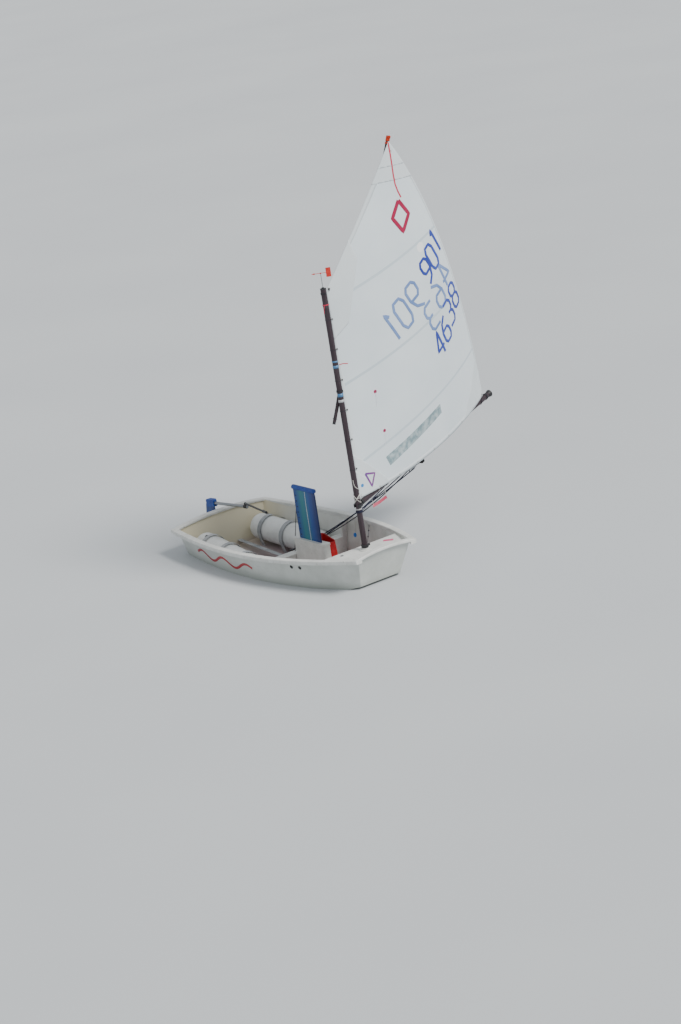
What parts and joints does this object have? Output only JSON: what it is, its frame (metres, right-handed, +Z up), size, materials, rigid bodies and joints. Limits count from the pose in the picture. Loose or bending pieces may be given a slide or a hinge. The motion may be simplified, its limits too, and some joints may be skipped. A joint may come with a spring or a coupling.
{
  "type": "sailing pram dinghy",
  "caption": "Small open pram dinghy with a sprit-rigged sail that swings on its mast, a lifting daggerboard, a rudder with tiller, buoyancy bags and a bailer.",
  "frame": {"origin": "amidships on the centreline, at the waterline", "axes": "+X forward to the bow, +Y to port, +Z up along the waterline mount's axis"},
  "size_m": [2.5486, 2.5161, 3.9328],
  "materials": {
    "hull_white": "glass-reinforced polyester, gloss gelcoat",
    "spar": "anodised tube, dark brown-grey",
    "black_fittings": "moulded nylon",
    "block_black": "moulded nylon",
    "blue_plastic": "moulded plastic",
    "steel": "stainless steel",
    "bag_white": "welded flexible sheet, inflated",
    "webbing": "woven webbing",
    "tiller_alloy": "anodised tube",
    "extension": "fibre tube with a foam grip",
    "sailcloth": "woven polyester sailcloth",
    "bailer_red": "moulded plastic",
    "vane_orange": "moulded plastic"
  },
  "bodies": {
    "hull": {"hull_shell": "hull_white", "gunwale_rim": "hull_white", "foredeck": "hull_white", "mast_collar": "black_fittings", "mast_step": "black_fittings", "daggerboard_case": "hull_white", "midship_thwart": "hull_white", "midship_frame": "hull_white", "floor_block": "block_black", "toe_straps": "webbing", "bailer": "bailer_red", "deck_grommet": "steel", "transom_gudgeons": "steel", "buoyancy_bag_port": "bag_white", "buoyancy_bag_starboard": "bag_white", "buoyancy_bag_bow": "bag_white", "bag_straps_port": "webbing", "bag_straps_starboard": "webbing", "bag_straps_bow": "webbing", "side_plug": "blue_plastic"},
    "rig": {"mast": "spar", "mast_cap": "black_fittings", "mast_clamp": "black_fittings", "boom": "spar", "boom_jaws": "black_fittings", "boom_end": "black_fittings", "boom_block": "block_black", "sprit": "spar", "sprit_tips": "black_fittings", "sail": "sailcloth", "wind_vane_rod": "tiller_alloy"},
    "wind_vane": {"wind_vane": "vane_orange"},
    "daggerboard": {"daggerboard": "blue_plastic", "daggerboard_grip": "blue_plastic"},
    "rudder": {"rudder_blade": "blue_plastic", "rudder_head": "blue_plastic", "rudder_pintles": "steel", "tiller": "tiller_alloy", "extension_joint": "black_fittings", "tiller_extension": "extension"}
  },
  "joints": [
    {"name": "rig_swing", "type": "hinge", "parent": "hull", "child": "rig", "pos_m": [0.876, 0, 0.249], "axis": [-0.0279, 0, 0.9996], "range_deg": [-22, 167]},
    {"name": "wind_vane_turn", "type": "hinge", "parent": "rig", "child": "wind_vane", "pos_m": [0.81368, 0, 2.48013], "axis": [-0.0279, 0, 0.9996], "continuous": true},
    {"name": "daggerboard_lift", "type": "slide", "parent": "hull", "child": "daggerboard", "axis": [0, 0, 1], "range_m": [-0.405, 0.3]},
    {"name": "rudder_steer", "type": "hinge", "parent": "hull", "child": "rudder", "pos_m": [-1.176, 0, 0.226], "axis": [-0.1736, 0, 0.9848], "range_deg": [-70, 70]}
  ]
}
